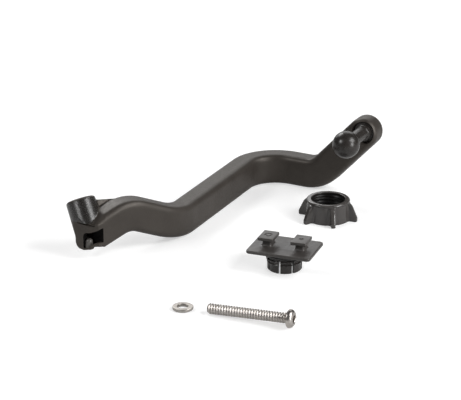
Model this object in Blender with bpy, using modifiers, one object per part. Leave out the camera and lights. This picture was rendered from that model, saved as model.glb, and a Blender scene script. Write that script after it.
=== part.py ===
"""Ball mount arm kit, laid out as supplied: cast arm with its ball stud, adapter with finger socket,
winged collar nut, spring washer and clamp screw. Metres, +Z up, everything rests on z = 0."""
import math

import bmesh
import bpy
from mathutils import Matrix, Vector

MM = 0.001
TOUCH = 0.3 * MM            # gap kept between pieces that touch
FLOOR_Z = 0.0

# Bar of the arm: rounded rectangle, swept along five straight runs
BAR_THICKNESS = 14.5 * MM
BAR_HEIGHT = 19.5 * MM
BAR_EDGE_RADIUS = 3.5 * MM
RAMP_AZIMUTH = 33.0         # plan angles in degrees from +X
BEAM_AZIMUTH = 64.0
POST_AZIMUTH = -28.0
FOOT_RISE = 20.5            # climb of the run that leaves the hub, degrees
RAMP_FALL = 23.0
POST_RISE = 47.2
FOOT_LENGTH = 25.0 * MM     # from the hub's axis to the first bend
RAMP_LENGTH = 36.7 * MM
BEAM_LENGTH = 118.0 * MM
SHELF_LENGTH = 44.6 * MM
POST_LENGTH = 45.5 * MM     # from the last bend to the centre of the round end
CREST_BEND_RADIUS = 20.0 * MM
TOE_BEND_RADIUS = 35.0 * MM
CORNER_BEND_RADIUS = 24.0 * MM
HEEL_BEND_RADIUS = 20.0 * MM
TOE_X = -32.9 * MM          # bend where the ramp meets the long beam
TOE_Y = 14.7 * MM

# Hub at the foot of the arm
HUB_DIAMETER = 17.8 * MM
HUB_LENGTH = 30.6 * MM      # along its axis, above the foot's bottom
HUB_LEAN = 30.8             # tilt of the hub from upright, degrees
HUB_LEAN_AZIMUTH = 124.7    # plan direction it leans towards
HUB_FORWARD = 3.0 * MM      # hub's foot in front of the bar's centreline
HUB_EDGE_RADIUS = 1.9 * MM
HUB_BORE_DIAMETER = 6.6 * MM
BAR_SETBACK = 2.8 * MM      # where the bar starts, past the hub's axis
FOOT_BOTTOM = 6.6 * MM      # height of the foot over the floor
FOOT_TOP = 22.4 * MM
FOOT_LEFT = 10.7 * MM       # reach of the foot to each side of the hub's axis
FOOT_RIGHT = 6.4 * MM
FOOT_DEPTH = 12.0 * MM
FOOT_AZIMUTH = -8.0
FOOT_FACE_OFFSET = 2.5 * MM  # from the hub's axis at the bottom to the foot's flat face
FOOT_EDGE_RADIUS = 1.6 * MM
POCKET_LEFT = 6.4 * MM      # reach of the pocket to each side of the hub's axis
POCKET_RIGHT = 5.7 * MM
POCKET_TOP_LEFT = 17.0 * MM
POCKET_TOP_RIGHT = 20.4 * MM
POCKET_DEPTH = 7.8 * MM
POCKET_CORNER = 1.6 * MM
SILL_BOTTOM = 1.5 * MM      # bar across the pocket's mouth, over the foot's bottom
SILL_TOP = 3.6 * MM
SILL_LEFT = 1.6 * MM        # reach of the raised sill to the left of the hub's axis
BOSS_DIAMETER = 9.0 * MM    # tube round the bore, inside the pocket
WEB_THICKNESS = 5.2 * MM    # web behind the bar, from the hub to the first bend
WEB_SETBACK = 0.7 * MM
WEB_TOP_AT_HUB = 34.4 * MM
WEB_TOP_AT_BEND = 31.0 * MM
WEB_EDGE_RADIUS = 1.0 * MM

# Ball stud and its seat in the raised end
BALL_DIAMETER = 17.0 * MM
STUD_OFFSET = 2.0 * MM      # from the centre of the round end to the stud's axis
BALL_REACH = 25.0 * MM      # from the face of the bar to the ball's centre
NECK_DIAMETER = 8.4 * MM
COLLAR_DIAMETER = 10.2 * MM
COLLAR_THICKNESS = 1.6 * MM
SHANK_DIAMETER = 7.0 * MM
SHANK_LENGTH = 8.0 * MM
SEAT_DIAMETER = 13.8 * MM
SEAT_DEPTH = 2.6 * MM
STUD_WASHER_DIAMETER = 12.4 * MM
STUD_WASHER_THICKNESS = 1.1 * MM

# Adapter plate with its two T tabs
ADAPTER_X = 31.9 * MM
ADAPTER_Y = -31.5 * MM
ADAPTER_AZIMUTH = -20.0
PLATE_LENGTH = 39.0 * MM
PLATE_WIDTH = 28.4 * MM
PLATE_THICKNESS = 2.0 * MM
PLATE_CORNER = 2.4 * MM
PLATE_EDGE = 0.5 * MM
TAB_SPACING = 20.0 * MM
TAB_STEM_LENGTH = 7.6 * MM
TAB_STEM_WIDTH = 5.0 * MM
TAB_STEM_HEIGHT = 3.9 * MM
TAB_HEAD_LENGTH = 12.0 * MM
TAB_HEAD_WIDTH = 8.8 * MM
TAB_HEAD_THICKNESS = 1.9 * MM
TAB_EDGE = 0.35 * MM
MARK_DIAMETERS = (5.0 * MM, 2.8 * MM)   # round mould marks in the two heads
MARK_DEPTH = 0.35 * MM

# Finger socket under the adapter plate
COLLET_HEIGHT = 11.2 * MM
COLLET_TOP_DIAMETER = 21.8 * MM
COLLET_MOUTH_DIAMETER = 20.2 * MM
COLLET_LEAD = 4.8 * MM      # plain tapered length at the mouth, below the thread
COLLET_SOCKET_CLEARANCE = 0.25 * MM
BALL_IN_SOCKET = 2.0 * MM   # height of the held ball's centre above the mouth
SLOT_WIDTH = 1.3 * MM
SLOT_LENGTH = 8.4 * MM
SLOT_CUTS = 4               # each cut crosses the socket, so it opens two slots
SLOT_ANGLE = 1.0
THREAD_PITCH = 2.2 * MM
THREAD_DEPTH = 0.65 * MM
THREAD_CLEARANCE = 0.3 * MM

# Winged collar nut
NUT_X = 60.7 * MM
NUT_Y = 46.9 * MM
NUT_HEIGHT = 12.8 * MM
NUT_TOP_WALL = 2.3 * MM
NUT_FOOT_WALL = 3.1 * MM
NUT_EDGE = 0.9 * MM
NUT_RIM_HEIGHT = 1.6 * MM    # rim that stands above the wings
WING_COUNT = 6
WING_ANGLE = -22.0
WING_TIP_RADIUS = 19.0 * MM
WING_THICKNESS = 2.6 * MM
WING_TIP_HEIGHT = 2.6 * MM
WING_EDGE = 0.5 * MM

# Spring washer
WASHER_X = -26.0 * MM
WASHER_Y = -90.1 * MM
WASHER_BORE = 6.3 * MM
WASHER_SECTION_WIDTH = 2.7 * MM
WASHER_THICKNESS = 1.6 * MM
WASHER_SPLIT = 8.0          # open angle, degrees
WASHER_SPLIT_AZIMUTH = 20.0
WASHER_SPRING = 0.5 * MM    # rise of one end over the other

# Clamp screw, lying on its head and its tip
SCREW_TIP_X = -11.8 * MM
SCREW_TIP_Y = -95.5 * MM
SCREW_AZIMUTH = -22.7
SCREW_DIAMETER = 6.0 * MM
SCREW_LENGTH = 47.5 * MM
SCREW_TIP_CHAMFER = 0.8 * MM
HEAD_DIAMETER = 10.5 * MM
HEAD_HEIGHT = 3.3 * MM
HEAD_RIM = 0.7 * MM
HEAD_CROWN_DIAMETER = 5.6 * MM
HEX_ACROSS_FLATS = 4.0 * MM
HEX_DEPTH = 2.1 * MM

TURN_STEPS = 40
MERGE = 0.02 * MM


# ---------------------------------------------------------------- scene and small helpers

def clear_scene():
    for obj in list(bpy.data.objects):
        bpy.data.objects.remove(obj, do_unlink=True)


def new_collection(name):
    collection = bpy.data.collections.new(name)
    bpy.context.scene.collection.children.link(collection)
    return collection


clear_scene()
KIT = new_collection("ball_mount_arm_kit")
CUTTERS = new_collection("cutters")


def make_material(name, colour, roughness, metallic=0.0):
    material = bpy.data.materials.new(name)
    material.use_nodes = True
    shader = material.node_tree.nodes["Principled BSDF"]
    shader.inputs["Base Color"].default_value = (*colour, 1.0)
    shader.inputs["Roughness"].default_value = roughness
    shader.inputs["Metallic"].default_value = metallic
    return material


def add_object(name, mesh, collection=KIT):
    obj = bpy.data.objects.new(name, mesh)
    collection.objects.link(obj)
    return obj


def finish_bmesh(bm, name):
    bmesh.ops.remove_doubles(bm, verts=bm.verts, dist=MERGE)
    bmesh.ops.recalc_face_normals(bm, faces=bm.faces)
    mesh = bpy.data.meshes.new(name)
    bm.to_mesh(mesh)
    bm.free()
    return mesh


def smooth(obj, angle=35.0):
    """Joins the stray corners left by the Booleans and shades all but the sharp edges smooth."""
    bm = bmesh.new()
    bm.from_mesh(obj.data)
    bmesh.ops.remove_doubles(bm, verts=bm.verts, dist=MERGE)
    bmesh.ops.dissolve_degenerate(bm, edges=bm.edges, dist=MERGE)
    bm.to_mesh(obj.data)
    bm.free()
    obj.data.shade_smooth()
    obj.data.set_sharp_from_angle(angle=math.radians(angle))


def horizontal(azimuth):
    return Vector((math.cos(math.radians(azimuth)), math.sin(math.radians(azimuth)), 0.0))


def inclined(azimuth, rise):
    flat = horizontal(azimuth) * math.cos(math.radians(rise))
    return flat + Vector((0.0, 0.0, math.sin(math.radians(rise))))


def frame(origin, x_axis, z_axis):
    """Matrix whose local X and Z lie along the given directions."""
    z = z_axis.normalized()
    x = (x_axis - z * x_axis.dot(z)).normalized()
    y = z.cross(x)
    rotation = Matrix((x, y, z)).transposed().to_4x4()
    return Matrix.Translation(origin) @ rotation


def apply_matrix(obj, matrix):
    obj.data.transform(matrix)
    return obj


def loft(name, rings):
    """Skin over equal rings of points, with a flat cap at each end."""
    bm = bmesh.new()
    rows = [[bm.verts.new(point) for point in ring] for ring in rings]
    count = len(rings[0])
    for row, following in zip(rows[:-1], rows[1:]):
        for i in range(count):
            j = (i + 1) % count
            bm.faces.new((row[i], row[j], following[j], following[i]))
    bm.faces.new(rows[0][::-1])
    bm.faces.new(rows[-1])
    return finish_bmesh(bm, name)


def turned(name, profile, collection=KIT, steps=TURN_STEPS):
    """Solid of revolution about Z: the profile is (radius, height), top to bottom."""
    mesh = bpy.data.meshes.new(name)
    points = [(radius, 0.0, height) for radius, height in profile]
    edges = [(i, i + 1) for i in range(len(points) - 1)]
    mesh.from_pydata(points, edges, [])
    obj = add_object(name, mesh, collection)
    screw = obj.modifiers.new("turn", "SCREW")
    screw.axis = "Z"
    screw.steps = steps
    screw.render_steps = steps
    screw.use_merge_vertices = True
    screw.merge_threshold = MERGE
    return bake(obj)


def bake(obj):
    """Replaces the mesh of an object by what its modifiers make of it."""
    depsgraph = bpy.context.evaluated_depsgraph_get()
    mesh = bpy.data.meshes.new_from_object(obj.evaluated_get(depsgraph))
    obj.modifiers.clear()
    obj.data = mesh
    return obj


def block(name, size, collection=KIT, edge=0.0, segments=3):
    """Box centred on its origin, with rounded edges."""
    mesh = bpy.data.meshes.new(name)
    bm = bmesh.new()
    bmesh.ops.create_cube(bm, size=1.0, matrix=Matrix.Diagonal((*size, 1.0)))
    if edge > 0.0:
        bmesh.ops.bevel(bm, geom=bm.edges[:], offset=edge, segments=segments, profile=0.5, affect="EDGES")
    bm.to_mesh(mesh)
    bm.free()
    return add_object(name, mesh, collection)


def prism(name, outline, bottom, top, collection=KIT):
    """Upright solid over a closed plan outline."""
    bm = bmesh.new()
    face = bm.faces.new([bm.verts.new((x, y, bottom)) for x, y in outline])
    sides = bmesh.ops.extrude_face_region(bm, geom=[face])
    raised = [item for item in sides["geom"] if isinstance(item, bmesh.types.BMVert)]
    bmesh.ops.translate(bm, verts=raised, vec=(0.0, 0.0, top - bottom))
    return add_object(name, finish_bmesh(bm, name), collection)


def rounded_outline(length, width, radius, steps=6):
    points = []
    for quarter in range(4):
        sign_x = 1.0 if quarter in (0, 3) else -1.0
        sign_y = 1.0 if quarter in (0, 1) else -1.0
        for k in range(steps + 1):
            angle = math.radians(90.0 * (quarter + k / steps))
            x = sign_x * (length / 2 - radius) + radius * math.cos(angle)
            y = sign_y * (width / 2 - radius) + radius * math.sin(angle)
            points.append((x, y))
    return points


def combine(obj, other, operation):
    """Boolean of two objects; the second one ends up in the cutters' collection."""
    modifier = obj.modifiers.new(operation.lower(), "BOOLEAN")
    modifier.operation = operation
    modifier.solver = "EXACT"
    modifier.object = other
    bake(obj)
    for collection in list(other.users_collection):
        collection.objects.unlink(other)
    CUTTERS.objects.link(other)
    other.hide_render = True
    other.display_type = "WIRE"
    return obj


# ---------------------------------------------------------------- arm

def arm_nodes():
    """Centreline corners of the bar, from the hub to the ball stud."""
    toe = Vector((TOE_X, TOE_Y, FLOOR_Z + BAR_HEIGHT / 2))
    crest = toe - inclined(RAMP_AZIMUTH, -RAMP_FALL) * RAMP_LENGTH
    start = crest - inclined(RAMP_AZIMUTH, FOOT_RISE) * FOOT_LENGTH
    corner = toe + horizontal(BEAM_AZIMUTH) * BEAM_LENGTH
    heel = corner + horizontal(POST_AZIMUTH) * SHELF_LENGTH
    stud = heel + inclined(POST_AZIMUTH, POST_RISE) * POST_LENGTH
    return [start, crest, toe, corner, heel, stud]


def filleted(nodes, radii, step=7.0):
    """Path through the nodes with an arc at each inner one, as (point, tangent) pairs."""
    path = [(nodes[0], (nodes[1] - nodes[0]).normalized())]
    for before, node, after, radius in zip(nodes, nodes[1:], nodes[2:], radii):
        into = (node - before).normalized()
        out = (after - node).normalized()
        turn = into.angle(out)
        reach = radius * math.tan(turn / 2)
        centre = node + (out - into).normalized() * (radius / math.cos(turn / 2))
        arm_in = (node - into * reach) - centre
        axis = into.cross(out).normalized()
        count = max(3, math.ceil(math.degrees(turn) / step))
        for k in range(count + 1):
            rotation = Matrix.Rotation(turn * k / count, 3, axis)
            path.append((centre + rotation @ arm_in, rotation @ into))
    path.append((nodes[-1], (nodes[-1] - nodes[-2]).normalized()))
    return path


def bar_section(steps=4):
    """Upper half of the bar's section as (sideways, radius from the centreline's level) pairs."""
    radius = BAR_EDGE_RADIUS
    points = []
    for start in (0.0, 90.0):
        sign = 1.0 if start == 0.0 else -1.0
        for k in range(steps + 1):
            angle = math.radians(start + 90.0 * k / steps)
            sideways = sign * (BAR_THICKNESS / 2 - radius) + radius * math.cos(angle)
            up = BAR_HEIGHT / 2 - radius + radius * math.sin(angle)
            points.append((sideways, up))
    return points


def side_of(tangent):
    return Vector((tangent.y, -tangent.x, 0.0)).normalized()


def bar_mesh():
    radii = (CREST_BEND_RADIUS, TOE_BEND_RADIUS, CORNER_BEND_RADIUS, HEEL_BEND_RADIUS)
    upper = bar_section()
    nodes = arm_nodes()
    nodes[0] = nodes[0] + (nodes[1] - nodes[0]).normalized() * BAR_SETBACK
    rings = []
    for point, tangent in filleted(nodes, radii):
        side = side_of(tangent)
        up = side.cross(tangent)
        top = [point + side * a + up * b for a, b in upper]
        bottom = [point + side * a - up * b for a, b in reversed(upper)]
        rings.append(top + bottom)
    for k in range(1, 9):
        angle = math.radians(90.0 * k / 8)
        lift = up * math.cos(angle)
        ahead = tangent * math.sin(angle)
        top = [point + side * a + (ahead + lift) * b for a, b in upper]
        bottom = [point + side * a + (ahead - lift) * b for a, b in reversed(upper)]
        rings.append(top + bottom)
    return loft("arm", rings)


def hub_axis():
    lean = math.radians(HUB_LEAN)
    return horizontal(HUB_LEAN_AZIMUTH) * math.sin(lean) + Vector((0.0, 0.0, math.cos(lean)))


def hub_foot():
    """Point of the hub's axis at the level of the foot's bottom."""
    place = arm_nodes()[0] + side_of(horizontal(RAMP_AZIMUTH)) * HUB_FORWARD
    return Vector((place.x, place.y, FLOOR_Z + FOOT_BOTTOM))


def hub_frame():
    return frame(hub_foot(), horizontal(0.0), hub_axis())


def stud_frame():
    """Local Z along the stud's axis, out of the bar's face; origin on that face."""
    along = inclined(POST_AZIMUTH, POST_RISE)
    side = side_of(along)
    stud = arm_nodes()[-1] + along * STUD_OFFSET
    return frame(stud + side * (BAR_THICKNESS / 2), along, side)


def foot_frame():
    """Upright frame on the foot's flat face: X along it, Y into the foot, Z from the foot's bottom."""
    along = horizontal(FOOT_AZIMUTH)
    inward = Vector((-along.y, along.x, 0.0))
    return frame(hub_foot() - inward * FOOT_FACE_OFFSET, along, Vector((0.0, 0.0, 1.0)))


def placed_block(name, low, high, matrix, edge=0.0):
    """Block between two corners of a local frame, kept with the cutters."""
    size = [b - a for a, b in zip(low, high)]
    centre = Vector([(a + b) / 2 for a, b in zip(low, high)])
    obj = block(name, size, CUTTERS, edge)
    return apply_matrix(obj, matrix @ Matrix.Translation(centre))


def ramp_frame():
    """Upright frame of the run that leaves the hub: X along it, Y back from its front face, Z up."""
    start = arm_nodes()[0]
    along = horizontal(RAMP_AZIMUTH)
    front = Vector((start.x, start.y, FLOOR_Z)) + side_of(along) * (BAR_THICKNESS / 2)
    return frame(front, along, Vector((0.0, 0.0, 1.0)))


def cut_before(obj, matrix, depth):
    """Removes what lies in front of a frame's XZ plane, moved back by depth."""
    reach = 3 * HUB_LENGTH
    cutter = placed_block("front_cut", (-reach, -reach, -reach), (reach, depth, reach), matrix)
    return combine(obj, cutter, "DIFFERENCE")


def cut_below(obj, matrix, height, reach):
    cutter = placed_block("under_cut", (-reach, -reach, -reach), (reach, reach, height), matrix)
    return combine(obj, cutter, "DIFFERENCE")


def build_hub():
    radius = HUB_DIAMETER / 2
    edge = HUB_EDGE_RADIUS
    below = -HUB_LENGTH / 2
    profile = [(0.0, HUB_LENGTH)]
    profile += arc((radius - edge, HUB_LENGTH - edge), edge, 90.0, 0.0, 4)
    profile += [(radius, below), (0.0, below)]
    hub = turned("hub_form", profile, CUTTERS)
    apply_matrix(hub, hub_frame())
    cut_before(hub, foot_frame(), TOUCH)
    cut_before(hub, ramp_frame(), TOUCH)
    return cut_below(hub, foot_frame(), TOUCH, 2 * HUB_LENGTH)


def build_foot():
    foot = placed_block("foot_form", (-FOOT_LEFT, 0.0, 0.0), (FOOT_RIGHT, FOOT_DEPTH, FOOT_TOP - FOOT_BOTTOM),
                        foot_frame(), FOOT_EDGE_RADIUS)
    return cut_before(foot, ramp_frame(), TOUCH / 2)


def upright_prism(name, outline, near, far, matrix, edge, collection=CUTTERS):
    """Prism over an outline of (across, height) pairs, from near to far along the frame's Y."""
    form = prism(name, outline, -far, -near, collection)
    bevel = form.modifiers.new("edge", "BEVEL")
    bevel.width = edge
    bevel.segments = 3
    bake(form)
    return apply_matrix(form, matrix @ Matrix.Rotation(math.radians(90.0), 4, "X"))


def build_web():
    start, crest = arm_nodes()[:2]
    length = (crest - start).dot(horizontal(RAMP_AZIMUTH))
    far = BAR_THICKNESS - WEB_SETBACK
    outline = [(0.0, FOOT_TOP - WEB_THICKNESS), (length, FOOT_TOP - WEB_THICKNESS),
               (length, WEB_TOP_AT_BEND), (0.0, WEB_TOP_AT_HUB)]
    return upright_prism("web_form", outline, far - WEB_THICKNESS, far, ramp_frame(), WEB_EDGE_RADIUS)


def build_pocket():
    outline = [(-POCKET_LEFT, SILL_TOP), (POCKET_RIGHT, SILL_TOP),
               (POCKET_RIGHT, POCKET_TOP_RIGHT - FOOT_BOTTOM), (-POCKET_LEFT, POCKET_TOP_LEFT - FOOT_BOTTOM)]
    return upright_prism("pocket_cut", outline, -HUB_LENGTH, POCKET_DEPTH, foot_frame(), POCKET_CORNER)


def build_boss():
    boss = round_bar("boss_form", BOSS_DIAMETER, -BOSS_DIAMETER, HUB_LENGTH - BOSS_DIAMETER, hub_frame())
    cut_before(boss, foot_frame(), 2 * TOUCH)
    return cut_below(boss, foot_frame(), SILL_TOP - TOUCH, 2 * HUB_LENGTH)


def round_bar(name, diameter, bottom, top, matrix, steps=TURN_STEPS):
    radius = diameter / 2
    obj = turned(name, [(0.0, top), (radius, top), (radius, bottom), (0.0, bottom)], CUTTERS, steps)
    return apply_matrix(obj, matrix)


def stud_seat_cutter():
    shank_hole = SHANK_DIAMETER / 2 + TOUCH
    hole_end = -SEAT_DEPTH - SHANK_LENGTH - TOUCH
    seat_radius = SEAT_DIAMETER / 2
    above = SEAT_DEPTH
    profile = [(0.0, above), (seat_radius, above), (seat_radius, -SEAT_DEPTH),
               (shank_hole, -SEAT_DEPTH), (shank_hole, hole_end), (0.0, hole_end)]
    return apply_matrix(turned("stud_seat", profile, CUTTERS), stud_frame())


def build_arm(material):
    arm = add_object("arm", bar_mesh())
    combine(arm, stud_seat_cutter(), "DIFFERENCE")
    cut_below(arm, foot_frame(), 2 * TOUCH, FOOT_RIGHT + BAR_SETBACK)
    for form in (build_hub(), build_foot(), build_web()):
        combine(arm, form, "UNION")
    combine(arm, build_pocket(), "DIFFERENCE")
    combine(arm, build_boss(), "UNION")
    notch = placed_block("sill_cut", (-SILL_LEFT, -HUB_LENGTH, -HUB_LENGTH), (HUB_LENGTH, HUB_LENGTH, SILL_BOTTOM),
                         foot_frame())
    combine(arm, notch, "DIFFERENCE")
    bore = round_bar("hub_bore", HUB_BORE_DIAMETER, -HUB_LENGTH, 2 * HUB_LENGTH, hub_frame(), 24)
    combine(arm, bore, "DIFFERENCE")
    arm.data.materials.append(material)
    smooth(arm)
    return arm


def arc(centre, radius, start, end, steps):
    """Points (radius, height) along an arc of a turned profile, angles from +X in degrees."""
    points = []
    for k in range(steps + 1):
        angle = math.radians(start + (end - start) * k / steps)
        points.append((centre[0] + radius * math.cos(angle), centre[1] + radius * math.sin(angle)))
    return points


def build_ball_stud(material):
    """Ball, waisted neck, collar and shank in one turned piece, on the stud's axis."""
    ball = BALL_DIAMETER / 2
    neck = NECK_DIAMETER / 2
    collar = COLLAR_DIAMETER / 2
    shank = SHANK_DIAMETER / 2
    collar_low = -SEAT_DEPTH + STUD_WASHER_THICKNESS + 2 * TOUCH
    collar_high = collar_low + COLLAR_THICKNESS
    joint = math.degrees(math.asin(neck / ball)) - 90.0
    profile = arc((0.0, BALL_REACH), ball, 90.0, joint, 18)
    profile[0] = (0.0, BALL_REACH + ball)
    flare = collar - neck - TOUCH
    profile += arc((neck + flare, collar_high + flare), flare, 180.0, 270.0, 4)
    profile += [(collar, collar_high - TOUCH), (collar, collar_low), (shank, collar_low),
                (shank, -SEAT_DEPTH - SHANK_LENGTH), (0.0, -SEAT_DEPTH - SHANK_LENGTH)]
    stud = turned("ball_stud", profile, KIT, 32)
    apply_matrix(stud, stud_frame())
    stud.data.materials.append(material)
    smooth(stud)
    return stud


def build_stud_washer(material):
    low = -SEAT_DEPTH + TOUCH
    high = low + STUD_WASHER_THICKNESS
    outer = STUD_WASHER_DIAMETER / 2
    inner = SHANK_DIAMETER / 2 + TOUCH
    bevel = TOUCH
    profile = [(inner, high), (outer - bevel, high), (outer, high - bevel), (outer, low), (inner, low),
               (inner, high)]
    washer = turned("stud_washer", profile, KIT, 32)
    apply_matrix(washer, stud_frame())
    washer.data.materials.append(material)
    smooth(washer)
    return washer


# ---------------------------------------------------------------- adapter

def adapter_frame():
    origin = Vector((ADAPTER_X, ADAPTER_Y, FLOOR_Z))
    return frame(origin, horizontal(ADAPTER_AZIMUTH), Vector((0.0, 0.0, 1.0)))


def plate_bottom():
    return COLLET_HEIGHT + TOUCH


def build_adapter_plate(material):
    low = plate_bottom()
    top = low + PLATE_THICKNESS
    corner = PLATE_CORNER
    plate = prism("adapter_plate", rounded_outline(PLATE_LENGTH, PLATE_WIDTH, corner), low, top)
    bevel = plate.modifiers.new("edge", "BEVEL")
    bevel.width = PLATE_EDGE
    bevel.segments = 2
    bevel.limit_method = "ANGLE"
    bevel.angle_limit = math.radians(60.0)
    bake(plate)
    sunk = PLATE_THICKNESS / 2
    for side, mark_diameter in zip((-1, 1), MARK_DIAMETERS):
        x = side * TAB_SPACING / 2
        stem_top = top + TAB_STEM_HEIGHT
        head_top = stem_top + TAB_HEAD_THICKNESS
        stem = placed_block("tab_stem_form", (x - TAB_STEM_WIDTH / 2, -TAB_STEM_LENGTH / 2, top - sunk),
                            (x + TAB_STEM_WIDTH / 2, TAB_STEM_LENGTH / 2, stem_top + TAB_EDGE), Matrix())
        head = placed_block("tab_head_form", (x - TAB_HEAD_WIDTH / 2, -TAB_HEAD_LENGTH / 2, stem_top),
                            (x + TAB_HEAD_WIDTH / 2, TAB_HEAD_LENGTH / 2, head_top), Matrix(), TAB_EDGE)
        mark = round_bar("tab_mark_cut", mark_diameter, head_top - MARK_DEPTH, head_top + TAB_STEM_HEIGHT,
                         Matrix.Translation((x, 0.0, 0.0)), 20)
        combine(plate, stem, "UNION")
        combine(plate, head, "UNION")
        combine(plate, mark, "DIFFERENCE")
    apply_matrix(plate, adapter_frame())
    plate.data.materials.append(material)
    smooth(plate)
    return plate


def thread_crests(root, crest, low, high, pitch):
    """Ring ridges of a thread from high to low, as (radius, height) pairs."""
    count = max(1, int((high - low) / pitch))
    points = []
    for k in range(count):
        centre = high - pitch * (k + 0.5)
        points += [(root, centre + 0.42 * pitch), (crest, centre + 0.14 * pitch),
                   (crest, centre - 0.14 * pitch), (root, centre - 0.42 * pitch)]
    return points


def collet_radius():
    return COLLET_TOP_DIAMETER / 2


def build_socket_collet(material):
    """Cup with a spherical socket, open downwards, slotted into fingers and threaded outside."""
    top = COLLET_HEIGHT
    crest = collet_radius()
    root = crest - THREAD_DEPTH
    mouth = COLLET_MOUTH_DIAMETER / 2
    socket = BALL_DIAMETER / 2 + COLLET_SOCKET_CLEARANCE
    centre = BALL_IN_SOCKET
    lip = math.degrees(math.asin(-centre / socket))
    profile = [(0.0, top), (crest, top)]
    profile += thread_crests(root, crest, COLLET_LEAD, top - THREAD_DEPTH, THREAD_PITCH)
    profile += [(root, COLLET_LEAD), (mouth, 0.0)]
    cup = arc((0.0, centre), socket, lip, 90.0, 10)
    cup[0] = (cup[0][0], 0.0)
    cup[-1] = (0.0, centre + socket)
    profile += cup
    collet = turned("socket_collet", profile)
    for k in range(SLOT_CUTS):
        spin = Matrix.Rotation(math.radians(SLOT_ANGLE + 180.0 * k / SLOT_CUTS), 4, "Z")
        slot = placed_block("slot_cut", (-2 * crest, -SLOT_WIDTH / 2, -SLOT_LENGTH),
                            (2 * crest, SLOT_WIDTH / 2, SLOT_LENGTH), spin)
        combine(collet, slot, "DIFFERENCE")
    apply_matrix(collet, adapter_frame())
    collet.data.materials.append(material)
    smooth(collet)
    return collet


# ---------------------------------------------------------------- nut, washer, screw

def build_collar_nut(material):
    """Ring nut with an inner thread that takes the finger socket, and six wings."""
    minor = collet_radius() - THREAD_DEPTH + THREAD_CLEARANCE
    major = minor + THREAD_DEPTH
    outer_top = major + NUT_TOP_WALL
    outer = major + NUT_FOOT_WALL
    top = NUT_HEIGHT
    edge = NUT_EDGE
    profile = [(minor, top - edge), (minor + edge, top)]
    profile += arc((outer_top - edge, top - edge), edge, 90.0, 0.0, 3)
    profile += [(outer, edge), (outer - edge, 0.0), (minor + edge, 0.0)]
    inside = thread_crests(major, minor, edge, top - edge, THREAD_PITCH)
    profile += inside[::-1]
    profile.append(profile[0])
    nut = turned("collar_nut", profile, KIT, 48)
    root = major + NUT_TOP_WALL / 2
    for k in range(WING_COUNT):
        outline = [(root, TOUCH), (WING_TIP_RADIUS, TOUCH), (WING_TIP_RADIUS, WING_TIP_HEIGHT),
                   (outer_top + WING_EDGE, top - NUT_RIM_HEIGHT), (root, top - NUT_RIM_HEIGHT)]
        wing = prism("wing_form", outline, -WING_THICKNESS / 2, WING_THICKNESS / 2, CUTTERS)
        bevel = wing.modifiers.new("edge", "BEVEL")
        bevel.width = WING_EDGE
        bevel.segments = 2
        bake(wing)
        upright = Matrix.Rotation(math.radians(90.0), 4, "X")
        spin = Matrix.Rotation(math.radians(WING_ANGLE + 360.0 * k / WING_COUNT), 4, "Z")
        apply_matrix(wing, spin @ upright)
        combine(nut, wing, "UNION")
    apply_matrix(nut, Matrix.Translation((NUT_X, NUT_Y, FLOOR_Z)))
    nut.data.materials.append(material)
    smooth(nut)
    return nut


def build_spring_washer(material):
    inner = WASHER_BORE / 2
    outer = inner + WASHER_SECTION_WIDTH
    corner = 0.2 * MM
    section = [(inner, 0.0), (outer - corner, 0.0), (outer, corner), (outer, WASHER_THICKNESS - corner),
               (outer - corner, WASHER_THICKNESS), (inner, WASHER_THICKNESS)]
    rings = []
    count = TURN_STEPS
    for k in range(count + 1):
        share = k / count
        angle = math.radians(WASHER_SPLIT_AZIMUTH + WASHER_SPLIT / 2 + (360.0 - WASHER_SPLIT) * share)
        lift = WASHER_SPRING * share
        rings.append([Vector((r * math.cos(angle), r * math.sin(angle), z + lift)) for r, z in section])
    washer = add_object("spring_washer", loft("spring_washer", rings))
    apply_matrix(washer, Matrix.Translation((WASHER_X, WASHER_Y, FLOOR_Z)))
    washer.data.materials.append(material)
    smooth(washer)
    return washer


def screw_frame():
    """Local Z from the tip to the head; the screw lies on its head's rim and its tip."""
    head = HEAD_DIAMETER / 2
    tip = SCREW_DIAMETER / 2 - SCREW_TIP_CHAMFER
    tilt = math.degrees(math.atan2(head - SCREW_DIAMETER / 2, SCREW_LENGTH - SCREW_TIP_CHAMFER))
    along = inclined(SCREW_AZIMUTH, tilt)
    tip_height = SCREW_DIAMETER / 2 * math.cos(math.radians(tilt))
    tip_height -= SCREW_TIP_CHAMFER * math.sin(math.radians(tilt))
    origin = Vector((SCREW_TIP_X, SCREW_TIP_Y, FLOOR_Z + tip_height))
    return frame(origin, Vector((0.0, 0.0, 1.0)), along)


def build_clamp_screw(material):
    radius = SCREW_DIAMETER / 2
    head = HEAD_DIAMETER / 2
    top = SCREW_LENGTH + HEAD_HEIGHT
    crown = HEAD_CROWN_DIAMETER / 2
    rise = HEAD_HEIGHT - HEAD_RIM
    profile = [(0.0, top), (crown, top)]
    for k in range(1, 7):
        angle = math.radians(90.0 - 15.0 * k)
        profile.append((crown + (head - crown) * math.cos(angle), top - rise + rise * math.sin(angle)))
    profile += [(head, SCREW_LENGTH), (radius, SCREW_LENGTH), (radius, SCREW_TIP_CHAMFER),
                (radius - SCREW_TIP_CHAMFER, 0.0), (0.0, 0.0)]
    screw = turned("clamp_screw", profile, KIT, 24)
    corner = HEX_ACROSS_FLATS / 2 / math.cos(math.radians(30.0))
    outline = [(corner * math.cos(math.radians(60.0 * k)), corner * math.sin(math.radians(60.0 * k)))
               for k in range(6)]
    socket = prism("hex_cut", outline, top - HEX_DEPTH, top + HEX_DEPTH, CUTTERS)
    combine(screw, socket, "DIFFERENCE")
    apply_matrix(screw, screw_frame())
    screw.data.materials.append(material)
    smooth(screw)
    return screw


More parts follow.
